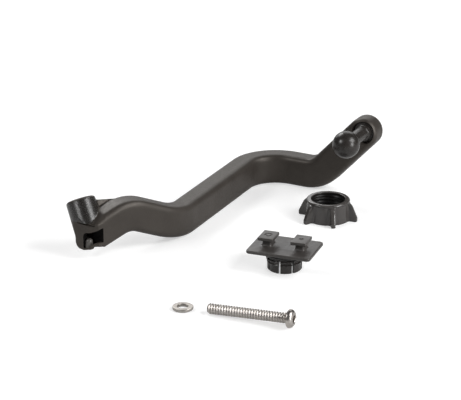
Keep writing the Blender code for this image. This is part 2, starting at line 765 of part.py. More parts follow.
def build_all():
    coated = make_material("black_powder_coat", (0.028, 0.028, 0.029), 0.42)
    ball_plastic = make_material("black_ball_finish", (0.026, 0.026, 0.027), 0.3)
    moulded = make_material("matte_black_nylon", (0.036, 0.036, 0.038), 0.55)
    glossy = make_material("glossy_black_nylon", (0.02, 0.02, 0.021), 0.25)
    stainless = make_material("stainless_steel", (0.52, 0.51, 0.49), 0.28, 1.0)
    build_arm(coated)
    build_ball_stud(ball_plastic)
    build_stud_washer(ball_plastic)
    build_adapter_plate(moulded)
    build_socket_collet(glossy)
    build_collar_nut(glossy)
    build_spring_washer(stainless)
    build_clamp_screw(stainless)


build_all()
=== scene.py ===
import math

import bmesh
import bpy
from mathutils import Matrix, Vector


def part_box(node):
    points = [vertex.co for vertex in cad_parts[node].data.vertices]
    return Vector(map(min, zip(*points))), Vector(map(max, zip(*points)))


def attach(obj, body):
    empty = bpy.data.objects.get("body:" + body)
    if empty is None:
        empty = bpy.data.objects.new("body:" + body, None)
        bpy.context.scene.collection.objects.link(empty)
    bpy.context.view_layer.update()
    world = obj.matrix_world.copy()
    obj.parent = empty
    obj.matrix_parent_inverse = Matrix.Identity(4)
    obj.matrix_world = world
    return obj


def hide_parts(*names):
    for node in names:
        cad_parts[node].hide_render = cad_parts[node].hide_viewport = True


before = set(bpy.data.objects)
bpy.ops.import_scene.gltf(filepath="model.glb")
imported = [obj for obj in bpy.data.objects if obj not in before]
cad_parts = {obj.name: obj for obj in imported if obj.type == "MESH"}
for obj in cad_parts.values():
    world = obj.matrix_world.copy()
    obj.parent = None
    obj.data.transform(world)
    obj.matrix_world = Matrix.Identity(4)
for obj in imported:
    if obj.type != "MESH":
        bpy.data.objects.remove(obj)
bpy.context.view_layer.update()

MM = 0.001


# ---------------------------------------------------------------- materials

CLOUD_SCALE = 60.0              # colour clouds per metre on coated and moulded surfaces
NYLON_GRAIN = (900.0, 0.012 * MM)   # grain of polished nylon: features per metre, depth
TURNING_MARKS = 450.0           # scale of the wave texture; marks per metre are about 3.2 times this
HUB_AXIS_TILT = (30.8, 34.7)    # lean from upright and the turn of its plane from +Y, degrees


def new_material(name):
    material = bpy.data.materials.new(name)
    material.use_nodes = True
    nodes = material.node_tree.nodes
    return material, nodes, material.node_tree.links, nodes["Principled BSDF"]


def noise(nodes, links, coordinates, scale, detail):
    """Noise in object space; scale is in features per metre."""
    texture = nodes.new("ShaderNodeTexNoise")
    texture.inputs["Scale"].default_value = scale
    texture.inputs["Detail"].default_value = detail
    texture.inputs["Roughness"].default_value = 0.55
    links.new(coordinates.outputs["Object"], texture.inputs["Vector"])
    return texture.outputs["Fac"]


def spread(nodes, links, source, low, high):
    """Maps a noise onto a range of values."""
    node = nodes.new("ShaderNodeMapRange")
    node.inputs["From Min"].default_value = 0.3
    node.inputs["From Max"].default_value = 0.7
    node.inputs["To Min"].default_value = low
    node.inputs["To Max"].default_value = high
    links.new(source, node.inputs["Value"])
    return node.outputs["Result"]


def cloudy(nodes, links, coordinates, scale, detail, dark, light):
    """Colour that drifts between two tones over the surface."""
    cloud = noise(nodes, links, coordinates, scale, detail)
    node = nodes.new("ShaderNodeMix")
    node.data_type = "RGBA"
    node.inputs["A"].default_value = (*dark, 1.0)
    node.inputs["B"].default_value = (*light, 1.0)
    links.new(spread(nodes, links, cloud, 0.0, 1.0), node.inputs["Factor"])
    return node.outputs["Result"]


def bump(nodes, links, shader, layers):
    """Stacks bump layers, each (height, strength, distance in metres)."""
    previous = None
    for height, strength, distance in layers:
        node = nodes.new("ShaderNodeBump")
        node.inputs["Strength"].default_value = strength
        node.inputs["Distance"].default_value = distance
        links.new(height, node.inputs["Height"])
        if previous is not None:
            links.new(previous, node.inputs["Normal"])
        previous = node.outputs["Normal"]
    links.new(previous, shader.inputs["Normal"])


def grained(name, dark, light, rough, grain_scale, grain_depth, specular=0.5, sheen=(1.0, 1.0, 1.0)):
    """Moulded or coated surface: cloudy colour, uneven roughness and a fine grain."""
    material, nodes, links, shader = new_material(name)
    coordinates = nodes.new("ShaderNodeTexCoord")
    colour = cloudy(nodes, links, coordinates, CLOUD_SCALE, 5.0, dark, light)
    fine = noise(nodes, links, coordinates, grain_scale, 3.0)
    coarse = noise(nodes, links, coordinates, grain_scale * 0.28, 4.0)
    links.new(colour, shader.inputs["Base Color"])
    links.new(spread(nodes, links, coarse, *rough), shader.inputs["Roughness"])
    shader.inputs["Specular IOR Level"].default_value = specular
    shader.inputs["Specular Tint"].default_value = (*sheen, 1.0)
    bump(nodes, links, shader, [(coarse, 0.25, grain_depth * 1.6), (fine, 0.5, grain_depth)])
    return material


def metal(name, dark, light, rough):
    """Bright steel with faint stains and fine tool marks."""
    material, nodes, links, shader = new_material(name)
    coordinates = nodes.new("ShaderNodeTexCoord")
    colour = cloudy(nodes, links, coordinates, 420.0, 5.0, dark, light)
    fine = noise(nodes, links, coordinates, 5200.0, 3.0)
    links.new(colour, shader.inputs["Base Color"])
    links.new(spread(nodes, links, fine, *rough), shader.inputs["Roughness"])
    shader.inputs["Metallic"].default_value = 1.0
    bump(nodes, links, shader, [(fine, 0.25, 0.02 * MM)])
    return material


def turned_metal(name, dark, light, rough):
    """Coated metal with fine turning marks round the leaning hub's axis."""
    material, nodes, links, shader = new_material(name)
    coordinates = nodes.new("ShaderNodeTexCoord")
    upright = nodes.new("ShaderNodeMapping")
    upright.vector_type = "POINT"
    lean, turn = (math.radians(angle) for angle in HUB_AXIS_TILT)
    upright.inputs["Rotation"].default_value = (lean * math.cos(turn), lean * math.sin(turn), 0.0)
    links.new(coordinates.outputs["Object"], upright.inputs["Vector"])
    ridges = nodes.new("ShaderNodeTexWave")
    ridges.wave_type = "BANDS"
    ridges.bands_direction = "Z"
    ridges.inputs["Scale"].default_value = TURNING_MARKS
    ridges.inputs["Distortion"].default_value = 0.6
    ridges.inputs["Detail"].default_value = 2.0
    ridges.inputs["Detail Scale"].default_value = 3.0
    links.new(upright.outputs["Vector"], ridges.inputs["Vector"])
    colour = cloudy(nodes, links, coordinates, CLOUD_SCALE, 5.0, dark, light)
    fine = noise(nodes, links, coordinates, 2600.0, 3.0)
    links.new(colour, shader.inputs["Base Color"])
    links.new(spread(nodes, links, fine, *rough), shader.inputs["Roughness"])
    shader.inputs["Specular IOR Level"].default_value = 0.8
    bump(nodes, links, shader, [(ridges.outputs["Fac"], 1.0, 0.075 * MM), (fine, 0.5, 0.05 * MM)])
    return material


POWDER_COAT = grained("black_powder_coat", (0.026, 0.0217, 0.0186), (0.037, 0.0318, 0.0277),
                      (0.42, 0.52), 2600.0, 0.05 * MM, sheen=(1.0, 0.93, 0.85))
# Lighter copy of the powder coat: a painted highlight on the lump in the pocket.
LUMP_HIGHLIGHT_COAT = grained("painted_highlight_coat", (0.065, 0.061, 0.056), (0.10, 0.094, 0.087),
                    (0.3, 0.4), 2600.0, 0.05 * MM)
TURNED_COAT = turned_metal("turned_coat", (0.014, 0.0125, 0.0115), (0.022, 0.0195, 0.0175), (0.2, 0.3))
# Near-black painted shade for the faces deep inside the foot's pocket.
POCKET_PAINTED_SHADE = grained("painted_pocket_shade", (0.003, 0.003, 0.003), (0.006, 0.0055, 0.005),
                      (0.7, 0.85), 1500.0, 0.03 * MM, specular=0.1)
BALL_FINISH = grained("black_ball_finish", (0.018, 0.016, 0.0145), (0.030, 0.026, 0.0235),
                      (0.24, 0.33), 1700.0, 0.03 * MM, specular=0.4)
MATTE_NYLON = grained("matte_black_nylon", (0.040, 0.0355, 0.0325), (0.054, 0.049, 0.0455),
                      (0.32, 0.42), 2300.0, 0.05 * MM)
GLOSSY_NYLON = grained("glossy_black_nylon", (0.020, 0.0175, 0.016), (0.030, 0.0265, 0.0245),
                       (0.14, 0.22), *NYLON_GRAIN)
# The nut and the collet are one nylon; this lighter copy paints light on the nut's outside.
NUT_LIT_NYLON = grained("painted_light_black_nylon", (0.050, 0.0455, 0.0435), (0.064, 0.059, 0.056),
                    (0.14, 0.22), *NYLON_GRAIN)
NUT_INSIDE = grained("shaded_black_nylon", (0.008, 0.0075, 0.007), (0.013, 0.012, 0.0115),
                     (0.3, 0.4), *NYLON_GRAIN, specular=0.2)
STAINLESS = metal("stainless_steel", (0.40, 0.37, 0.343), (0.55, 0.517, 0.487), (0.26, 0.4))
WASHER_STEEL = metal("spring_steel", (0.33, 0.305, 0.28), (0.46, 0.435, 0.405), (0.3, 0.45))
# Darker copy of the steel: painted shade in the grooves of the screw's thread.
THREAD_ROOT_SHADE = metal("thread_root_painted_shade", (0.32, 0.297, 0.276), (0.44, 0.413, 0.388), (0.3, 0.44))

NODE_MATERIALS = {
    "arm": POWDER_COAT,
    "ball_stud": BALL_FINISH,
    "stud_washer": BALL_FINISH,
    "adapter_plate": MATTE_NYLON,
    "socket_collet": GLOSSY_NYLON,
    "collar_nut": GLOSSY_NYLON,
    "spring_washer": STAINLESS,
    "clamp_screw": STAINLESS,
}
for node_name, node_material in NODE_MATERIALS.items():
    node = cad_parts[node_name]
    node.data.materials.clear()
    node.data.materials.append(node_material)


# ---------------------------------------------------------------- mesh helpers

SHARP_ANGLE = math.radians(32.0)    # edges that bend more than this stay sharp
BEVEL_SEGMENTS = 3


def make_object(name, bm, material=None):
    """Cleans a bmesh and turns it into an object."""
    bmesh.ops.remove_doubles(bm, verts=bm.verts, dist=0.002 * MM)
    bmesh.ops.dissolve_degenerate(bm, edges=bm.edges, dist=0.002 * MM)
    bmesh.ops.recalc_face_normals(bm, faces=bm.faces)
    mesh = bpy.data.meshes.new(name)
    bm.to_mesh(mesh)
    bm.free()
    piece = bpy.data.objects.new(name, mesh)
    bpy.context.scene.collection.objects.link(piece)
    if material is not None:
        mesh.materials.append(material)
    return piece


def bake(piece):
    """Replaces a piece's mesh by what its modifiers make of it."""
    depsgraph = bpy.context.evaluated_depsgraph_get()
    mesh = bpy.data.meshes.new_from_object(piece.evaluated_get(depsgraph))
    piece.modifiers.clear()
    piece.data = mesh
    return piece


def skin(rows, wrap_rows, wrap_points):
    """Quads over rows of points; open rows are closed with a flat face at each end."""
    bm = bmesh.new()
    grid = [[bm.verts.new(point) for point in row] for row in rows]
    count = len(rows[0])
    last_row = len(rows) if wrap_rows else len(rows) - 1
    last_point = count if wrap_points else count - 1
    for i in range(last_row):
        row, following = grid[i], grid[(i + 1) % len(grid)]
        for k in range(last_point):
            j = (k + 1) % count
            bm.faces.new((row[k], row[j], following[j], following[k]))
    if wrap_rows and not wrap_points:
        bm.faces.new([row[0] for row in grid])
        bm.faces.new([row[-1] for row in reversed(grid)])
    if wrap_points and not wrap_rows:
        bm.faces.new(grid[0][::-1])
        bm.faces.new(grid[-1])
    return bm


def arc_points(centre, radius, start, end, steps):
    """Arc as plain pairs, from start to end in degrees."""
    points = []
    for k in range(steps + 1):
        angle = math.radians(start + (end - start) * k / steps)
        points.append((centre[0] + radius * math.cos(angle), centre[1] + radius * math.sin(angle)))
    return points


def axes(origin, x_axis, z_axis):
    """Frame at a point, with Z along one axis and X as near as it can be to the other."""
    z = Vector(z_axis).normalized()
    x = (Vector(x_axis) - z * Vector(x_axis).dot(z)).normalized()
    y = z.cross(x)
    return Matrix.Translation(origin) @ Matrix((x, y, z)).transposed().to_4x4()


def turned_row(profile, angle):
    """Profile of (radius, height) pairs as points at one angle round Z."""
    across, along = math.cos(angle), math.sin(angle)
    return [Vector((max(r, 0.0) * across, max(r, 0.0) * along, z)) for r, z in profile]


def lathe(name, profile, matrix, material=None, steps=96):
    """Solid of revolution; a profile that starts and ends at one point is a ring."""
    ring = profile[0] == profile[-1]
    points = profile[:-1] if ring else profile
    rows = [turned_row(points, 2 * math.pi * i / steps) for i in range(steps)]
    piece = make_object(name, skin(rows, True, ring), material)
    piece.data.transform(matrix)
    return piece


def box(name, low, high, matrix):
    """Block between two corners, in a frame of its own."""
    bm = bmesh.new()
    size = [b - a for a, b in zip(low, high)]
    centre = Vector([(a + b) / 2 for a, b in zip(low, high)])
    bmesh.ops.create_cube(bm, size=1.0, matrix=Matrix.Diagonal((*size, 1.0)))
    piece = make_object(name, bm)
    piece.data.transform(matrix @ Matrix.Translation(centre))
    return piece


def prism(name, outline, low, high, matrix, edge=0.0):
    """Straight solid over a plan, its edges rounded where edge is given."""
    bm = skin([[Vector((x, y, z)) for x, y in outline] for z in (low, high)], False, True)
    if edge > 0.0:
        bmesh.ops.bevel(bm, geom=bm.edges[:], offset=edge, segments=BEVEL_SEGMENTS, profile=0.5,
                        affect="EDGES")
    piece = make_object(name, bm)
    piece.data.transform(matrix)
    return piece


def combine(piece, other, operation):
    """Boolean of a piece with another, which is used up."""
    modifier = piece.modifiers.new("join", "BOOLEAN")
    modifier.operation = operation
    modifier.solver = "MANIFOLD"
    modifier.object = other
    bake(piece)
    bpy.data.objects.remove(other, do_unlink=True)
    return piece


def dress(piece, body, node):
    """Keeps a piece inside its node's box, hands it to the node's body and hides the node."""
    low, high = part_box(node)
    for vertex in piece.data.vertices:
        vertex.co = [min(max(c, a), b) for c, a, b in zip(vertex.co, low, high)]
    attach(piece, body)
    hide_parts(node)
    piece.data.shade_smooth()
    piece.data.set_sharp_from_angle(angle=SHARP_ANGLE)


def middle(node):
    """Middle of a node's box, seen from above."""
    low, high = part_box(node)
    return (low[0] + high[0]) / 2, (low[1] + high[1]) / 2


def thread_wave(height, angle, pitch):
    """1 on a helical thread's crest and 0 in its root."""
    phase = (height / pitch - angle / (2 * math.pi)) % 1.0
    away = abs(phase - 0.5) * 2.0
    return min(1.0, max(0.0, (1.0 - away - 0.2) / 0.5))


def fade(value, low, high):
    """Smooth step from 0 at low to 1 at high."""
    share = min(1.0, max(0.0, (value - low) / (high - low)))
    return share * share * (3.0 - 2.0 * share)


# ---------------------------------------------------------------- collar nut

NUT_MINOR = 10.55 * MM
NUT_MAJOR = 11.2 * MM
NUT_RIM = 13.5 * MM
NUT_FOOT = 14.3 * MM
NUT_HEIGHT = 12.8 * MM
NUT_EDGE = 1.1 * MM
NUT_SHOULDER = 11.2 * MM
WING_COUNT = 6
WING_ANGLE = -22.0
WING_TIP = 19.0 * MM
WING_HALF = 1.3 * MM
WING_TIP_HEIGHT = 2.6 * MM
WING_TOP_REACH = 1.5 * MM       # wing over the rim's radius, just under the rim
WING_GROOVE = 0.3 * MM          # the nut's outside is this much lower beside each wing
PANEL = (11.0, 49.0)            # from wing to wing, degrees past the first one's middle
PANEL_STEPS = 18
THREAD_PITCH = 2.2 * MM
THREAD_DEPTH = 0.65 * MM

# Half of a wing's plan, as (across in half thicknesses, share of its reach)
WING_PLAN = [(-1.9, 0.0), (-1.35, 0.06), (-1.0, 0.25), (-1.0, 0.8), (-0.9, 0.95), (-0.55, 1.0), (0.0, 1.0)]

# Foot edge as (height, inset), then the heights up to the shoulder, in millimetres
NUT_FOOT_EDGE = [(0.0, 0.5), (0.12, 0.2), (0.4, 0.05), (0.8, 0.0)]
NUT_HEIGHTS = (1.6, 2.2, 2.6, 3.2, 4.4, 5.6, 6.8, 8.0, 9.2, 9.8, 10.3, 10.7, 10.95, 11.1, 11.17, 11.19)


def nut_body_radius(height):
    """Outside of the nut between its wings: a flared skirt under a rounded rim."""
    if height >= NUT_SHOULDER:
        return NUT_RIM
    share = height / NUT_SHOULDER
    return NUT_FOOT + (NUT_RIM - 0.35 * MM - NUT_FOOT) * share


def wing_reach(height):
    """Radius of a wing's outer edge, which slopes in to the rim."""
    share = (NUT_SHOULDER - max(height, WING_TIP_HEIGHT)) / (NUT_SHOULDER - WING_TIP_HEIGHT)
    top = NUT_RIM + WING_TOP_REACH * math.sqrt(min(1.0, 5.0 * share))
    return top + (WING_TIP - NUT_RIM - WING_TOP_REACH) * share


def nut_outline(height, shrink):
    """Closed plan outline at one height, as points round the nut."""
    body = nut_body_radius(height) - shrink
    reach = max(body, wing_reach(height) - shrink) if height < NUT_SHOULDER else body
    half = WING_HALF - 0.3 * shrink
    groove = WING_GROOVE if height < NUT_SHOULDER else 0.0
    wing = WING_PLAN + [(-a, b) for a, b in reversed(WING_PLAN[:-1])]
    start, end = PANEL
    points = []
    for k in range(WING_COUNT):
        degrees = WING_ANGLE + 360.0 / WING_COUNT * k
        turn = math.radians(degrees)
        for a, b in wing:
            side = a * half
            out = math.sqrt(body * body - side * side)
            out += max(0.0, reach - out) * b
            points.append((turn, out, side))
        for step in range(1, PANEL_STEPS):
            past = start + (end - start) * step / PANEL_STEPS
            panel = fade(past, start + 1.0, start + 3.0) * (1.0 - fade(past, end - 3.0, end - 1.0))
            points.append((turn + math.radians(past), body - groove * (1.0 - panel), 0.0))
    plan = []
    for turn, out, side in points:
        across, along = math.cos(turn), math.sin(turn)
        plan.append((out * across - side * along, out * along + side * across))
    return plan


def nut_bore(angle):
    """Inside of the nut at one angle, from the rim down, with its helical thread."""
    top = NUT_HEIGHT
    low, high = 0.5 * MM, top - 1.8 * MM
    samples = 60
    inner = [(NUT_MINOR + 0.4 * MM, top), (NUT_MINOR + 0.1 * MM, top - 0.12 * MM),
             (NUT_MINOR, top - 0.4 * MM), (NUT_MINOR, top - 1.5 * MM), (NUT_MAJOR, top - 1.7 * MM)]
    for k in range(samples + 1):
        height = high + (low - high) * k / samples
        ends = fade(height, low, low + 1.2 * MM) * (1.0 - fade(height, high - 1.2 * MM, high))
        inner.append((NUT_MAJOR - THREAD_DEPTH * ends * thread_wave(height, angle, THREAD_PITCH), height))
    return inner + [(NUT_MAJOR + 0.3 * MM, 0.0)]


def build_collar_nut():
    levels = NUT_FOOT_EDGE + [(height, 0.0) for height in NUT_HEIGHTS]
    outside = [nut_outline(height * MM, inset * MM) for height, inset in levels]
    heights = [height * MM for height, inset in levels]
    for radius, height in arc_points((NUT_RIM - NUT_EDGE, NUT_HEIGHT - NUT_EDGE), NUT_EDGE, 0.0, 90.0, 6):
        outside.append(nut_outline(max(height, NUT_SHOULDER), NUT_RIM - radius))
        heights.append(height)
    rows = []
    for i, (x, y) in enumerate(outside[0]):
        angle = math.atan2(y, x)
        row = [Vector((*plan[i], height)) for plan, height in zip(outside, heights)]
        rows.append(row + turned_row(nut_bore(angle), angle))
    # The nut's outside gets the painted-light copy of the nylon, its inside the shaded one.
    piece = make_object("winged_collar_nut", skin(rows, True, True), NUT_LIT_NYLON)
    piece.data.materials.append(NUT_INSIDE)
    for face in piece.data.polygons:
        inside = math.hypot(face.center.x, face.center.y) < NUT_MAJOR + 0.05 * MM
        face.material_index = 1 if inside and face.center.z < NUT_HEIGHT - 0.5 * MM else 0
    piece.data.transform(Matrix.Translation((*middle("collar_nut"), 0.0)))
    dress(piece, "nut", "collar_nut")


# ---------------------------------------------------------------- adapter

ADAPTER_TURN = -20.0
COLLET_HEIGHT = 11.2 * MM
COLLET_CREST = 10.9 * MM
COLLET_MOUTH = 10.1 * MM
COLLET_LEAD = 4.8 * MM
SOCKET_RADIUS = 8.75 * MM
SOCKET_CENTRE = 2.0 * MM
SLOT_HALF = 0.65 * MM
SLOT_TOP = 8.4 * MM
SLOT_TURN = 1.0
SLOT_CUTS = 4                   # each cut crosses the socket, so it opens two slots
PLATE_LOW = 11.5 * MM
PLATE_TOP = 13.5 * MM
PLATE_LENGTH = 39.0 * MM
PLATE_WIDTH = 28.4 * MM
PLATE_CORNER = 2.4 * MM
PLATE_EDGE = 0.7 * MM
TAB_SPACING = 20.0 * MM
STEM_HEIGHT = 3.9 * MM
STEM_SIZE = (5.0, 7.6, 0.9)     # length, width and corner radius in millimetres
HEAD_LENGTH = 9.4 * MM
HEAD_WIDTH = 12.8 * MM
HEAD_THICKNESS = 1.9 * MM
HEAD_CORNER = 0.7 * MM
HEAD_EDGE = 0.4 * MM
MARK_DEPTH = 0.4 * MM
MARK_EDGE = 0.25 * MM
MARK_RINGS = {-1.0: (1.3 * MM, 2.5 * MM), 1.0: (0.5 * MM, 1.4 * MM)}    # side: inner and outer radius

# How far a stem flares at each height over the plate, both in millimetres
STEM_FLARE = [(-0.8, 2.6), (0.0, 2.6), (0.1, 1.7), (0.35, 1.0), (0.8, 0.45), (1.5, 0.1), (3.2, 0.0),
              (4.1, 0.25)]


def adapter_matrix():
    turn = Matrix.Rotation(math.radians(ADAPTER_TURN), 4, "Z")
    return Matrix.Translation((*middle("socket_collet"), 0.0)) @ turn


def collet_profile(angle):
    """Socket at one angle: flange, helical thread, tapered lead, mouth and ball cup."""
    top = COLLET_HEIGHT
    flange = top - 1.3 * MM
    root = COLLET_CREST - THREAD_DEPTH
    samples = 44
    profile = [(0.02 * MM, top), (COLLET_CREST - 0.3 * MM, top), (COLLET_CREST, top - 0.3 * MM),
               (COLLET_CREST, flange + 0.15 * MM), (COLLET_CREST - 0.15 * MM, flange)]
    for k in range(samples + 1):
        height = flange - 0.1 * MM + (COLLET_LEAD - flange) * k / samples
        ends = fade(height, COLLET_LEAD - 0.2 * MM, COLLET_LEAD + 0.7 * MM)
        profile.append((root + THREAD_DEPTH * ends * thread_wave(height, angle, THREAD_PITCH), height))
    lip = math.degrees(math.asin(-SOCKET_CENTRE / SOCKET_RADIUS))
    cup = arc_points((0.0, SOCKET_CENTRE), SOCKET_RADIUS, lip, 88.5, 14)
    mouth = cup[0][0]
    profile += [(COLLET_MOUTH + 0.1 * MM, 0.5 * MM), (COLLET_MOUTH - 0.25 * MM, 0.0)]
    return profile + [(mouth + 0.25 * MM, 0.0), (mouth, 0.3 * MM)] + cup[1:]


def build_collet():
    steps = 128
    angles = [2 * math.pi * i / steps for i in range(steps)]
    rows = [turned_row(collet_profile(angle), angle) for angle in angles]
    piece = make_object("finger_socket", skin(rows, True, False), GLOSSY_NYLON)
    past = 30.0 * MM
    for k in range(SLOT_CUTS):
        spin = Matrix.Rotation(math.radians(SLOT_TURN + 180.0 / SLOT_CUTS * k), 4, "Z")
        slot = box("slot", (-past, -SLOT_HALF, -10.0 * MM), (past, SLOT_HALF, SLOT_TOP), spin)
        combine(piece, slot, "DIFFERENCE")
    piece.data.transform(adapter_matrix())
    dress(piece, "adapter", "socket_collet")


def rounded_plan(length, width, radius):
    """Rectangle with round corners, about the origin."""
    steps = 8
    plan = []
    for quarter in range(4):
        sign_x = 1.0 if quarter in (0, 3) else -1.0
        sign_y = 1.0 if quarter in (0, 1) else -1.0
        for k in range(steps + 1):
            angle = math.radians(90.0 * (quarter + k / steps))
            plan.append((sign_x * (length / 2 - radius) + radius * math.cos(angle),
                         sign_y * (width / 2 - radius) + radius * math.sin(angle)))
    return plan


def layered(name, layers, material=None):
    """Stack of rounded rectangles, each (height, length, width, corner radius, shift along x)."""
    rows = []
    for height, length, width, radius, shift in layers:
        rows.append([Vector((x + shift, y, height)) for x, y in rounded_plan(length, width, radius)])
    return make_object(name, skin(rows, False, True), material)


def edge_layers(low, high, length, width, corner, edge, shift=0.0):
    """Layers of a slab from low to high, with its upper and lower edges rounded."""
    steps = 4
    layers = []
    for sign, level in ((-1.0, low + edge), (1.0, high - edge)):
        for k in range(steps + 1):
            share = k / steps if sign > 0 else 1.0 - k / steps
            angle = math.radians(90.0 * share)
            inset = edge * (1.0 - math.cos(angle))
            layers.append((level + sign * edge * math.sin(angle), length - 2 * inset, width - 2 * inset,
                           max(corner - inset, 0.05 * MM), shift))
    return layers


def build_plate():
    slab = edge_layers(PLATE_LOW, PLATE_TOP, PLATE_LENGTH, PLATE_WIDTH, PLATE_CORNER, PLATE_EDGE)
    plate = layered("tabbed_plate", slab, MATTE_NYLON)
    length, width, corner = STEM_SIZE
    stem_top = PLATE_TOP + STEM_HEIGHT
    head_top = stem_top + HEAD_THICKNESS
    for side, (inner, outer) in MARK_RINGS.items():
        x = side * TAB_SPACING / 2
        stem = [(PLATE_TOP + height * MM, (length + flare) * MM, (width + flare) * MM,
                 (corner + 0.4 * flare) * MM, x) for height, flare in STEM_FLARE]
        combine(plate, layered("stem", stem), "UNION")
        head = edge_layers(stem_top, head_top, HEAD_LENGTH, HEAD_WIDTH, HEAD_CORNER, HEAD_EDGE, x)
        combine(plate, layered("head", head), "UNION")
        above, edge, floor = head_top + 1.0 * MM, head_top - 0.2 * MM, head_top - MARK_DEPTH
        groove = [(outer, above), (outer, edge), (outer - MARK_EDGE, floor), (inner + MARK_EDGE, floor),
                  (inner, edge), (inner, above), (outer, above)]
        combine(plate, lathe("mark", groove, Matrix.Translation((x, 0.0, 0.0)), steps=40), "DIFFERENCE")
    plate.data.transform(adapter_matrix())
    dress(plate, "adapter", "adapter_plate")


# ---------------------------------------------------------------- washer and screw

WASHER_INNER = 3.15 * MM
WASHER_OUTER = 5.85 * MM
WASHER_THICKNESS = 1.72 * MM
WASHER_CORNER = 0.28 * MM
WASHER_START = 24.0             # where the split ring starts, and how far it runs, degrees
WASHER_SWEEP = 352.0
WASHER_RISE = 0.5 * MM          # of one end over the other

SCREW_TIP = (-11.8 * MM, -95.48 * MM, 2.96 * MM)
SCREW_AXIS = (0.92147, -0.38546, 0.04812)
SCREW_LENGTH = 47.5 * MM
SCREW_RADIUS = 3.0 * MM
SCREW_CORE = 2.55 * MM
SCREW_PITCH = 1.6 * MM
SCREW_HEAD = 5.25 * MM          # radius
HEAD_RIM = 0.7 * MM             # straight height of the head, under its dome
HEAD_DOME = 2.6 * MM            # height of the dome
HEAD_CROWN = 2.8 * MM           # radius of the flat on the dome
HEX_CORNER = 2.0 * MM / math.cos(math.radians(30.0))
HEX_DEPTH = 2.1 * MM


def build_spring_washer():
    low, high = WASHER_CORNER, WASHER_THICKNESS - WASHER_CORNER
    inner, outer = WASHER_INNER + WASHER_CORNER, WASHER_OUTER - WASHER_CORNER
    section = []
    for k, centre in enumerate(((inner, low), (outer, low), (outer, high), (inner, high))):
        section += arc_points(centre, WASHER_CORNER, 180.0 + 90.0 * k, 270.0 + 90.0 * k, 3)
    rows = []
    count = 110
    for k in range(count + 1):
        share = k / count
        lifted = [(r, z + WASHER_RISE * share) for r, z in section]
        rows.append(turned_row(lifted, math.radians(WASHER_START + WASHER_SWEEP * share)))
    piece = make_object("spring_lock_washer", skin(rows, False, True), WASHER_STEEL)
    piece.data.transform(Matrix.Translation((*middle("spring_washer"), 0.0)))
    dress(piece, "washer", "spring_washer")


def shank_profile(angle):
    """Shank at one angle from the tip to the head, with its helical thread."""
    samples = 470
    profile = [(0.4 * MM, 0.0), (SCREW_CORE - 0.25 * MM, 0.0)]
    for k in range(samples + 1):
        height = 0.15 * MM + (SCREW_LENGTH - 0.75 * MM) * k / samples
        ends = fade(height, 0.0, 1.0 * MM)
        depth = (SCREW_RADIUS - SCREW_CORE) * ends * thread_wave(height, angle, SCREW_PITCH)
        profile.append((SCREW_CORE - 0.2 * MM * (1.0 - ends) + depth, height))
    return profile + [(SCREW_CORE, SCREW_LENGTH - 0.3 * MM), (SCREW_RADIUS + 0.2 * MM, SCREW_LENGTH)]


def build_shank():
    steps = 30
    angles = [2 * math.pi * i / steps for i in range(steps)]
    rows = [turned_row(shank_profile(angle), angle) for angle in angles]
    shank = make_object("screw_shank", skin(rows, True, False), STAINLESS)
    shank.data.materials.append(THREAD_ROOT_SHADE)
    # Faces in the thread roots get the painted shade.
    for face in shank.data.polygons:
        if math.hypot(face.center.x, face.center.y) < SCREW_CORE + 0.14 * MM:
            face.material_index = 1
    return shank


def build_button():
    """Button head with a hexagon socket."""
    under = SCREW_LENGTH
    base = under + HEAD_RIM
    top = base + HEAD_DOME
    profile = [(0.0, under - 0.4 * MM), (SCREW_CORE, under - 0.4 * MM), (SCREW_CORE, under),
               (SCREW_HEAD - 0.25 * MM, under), (SCREW_HEAD, under + 0.2 * MM), (SCREW_HEAD, base)]
    for k in range(1, 13):
        angle = math.radians(90.0 * k / 12)
        radius = HEAD_CROWN + (SCREW_HEAD - HEAD_CROWN) * math.cos(angle)
        profile.append((radius, base + HEAD_DOME * math.sin(angle)))
    profile.append((0.0, top))
    button = lathe("screw_head", profile, Matrix(), STAINLESS, 72)
    angles = [math.radians(60.0 * k) for k in range(6)]
    outline = [(HEX_CORNER * math.cos(angle), HEX_CORNER * math.sin(angle)) for angle in angles]
    combine(button, prism("hex", outline, top - HEX_DEPTH, top + 1.0 * MM, Matrix()), "DIFFERENCE")
    low, high = top - 0.35 * MM, top + 0.12 * MM
    lead = [(0.0, low), (HEX_CORNER - 0.12 * MM, low), (HEX_CORNER + 0.35 * MM, high), (0.0, high)]
    return combine(button, lathe("lead", lead, Matrix(), steps=48), "DIFFERENCE")


def build_screw():
    place = axes(SCREW_TIP, (0.0, 0.0, 1.0), SCREW_AXIS)
    for piece in (build_shank(), build_button()):
        piece.data.transform(place)
        dress(piece, "screw", "clamp_screw")


# ---------------------------------------------------------------- ball stud

STUD_ORIGIN = (83.3 * MM, 78.27 * MM, 44.6 * MM)
STUD_AXIS = (-0.46947, -0.88295, 0.0)
STUD_UP = (0.59991, -0.31898, 0.73373)
BALL_RADIUS = 8.5 * MM
BALL_REACH = 25.0 * MM
NECK_RADIUS = 4.2 * MM
COLLAR_RADIUS = 5.1 * MM
COLLAR_HEIGHT = 1.6 * MM
STUD_SHANK_RADIUS = 3.5 * MM
SEAT_DEPTH = 2.6 * MM
COLLAR_BASE = 1.7 * MM          # over the seat's floor
SEAT_WASHER = (3.8 * MM, 6.2 * MM)  # inner and outer radius
SEAT_WASHER_TOP = 1.4 * MM      # over the seat's floor


def stud_matrix():
    return axes(STUD_ORIGIN, STUD_UP, STUD_AXIS)


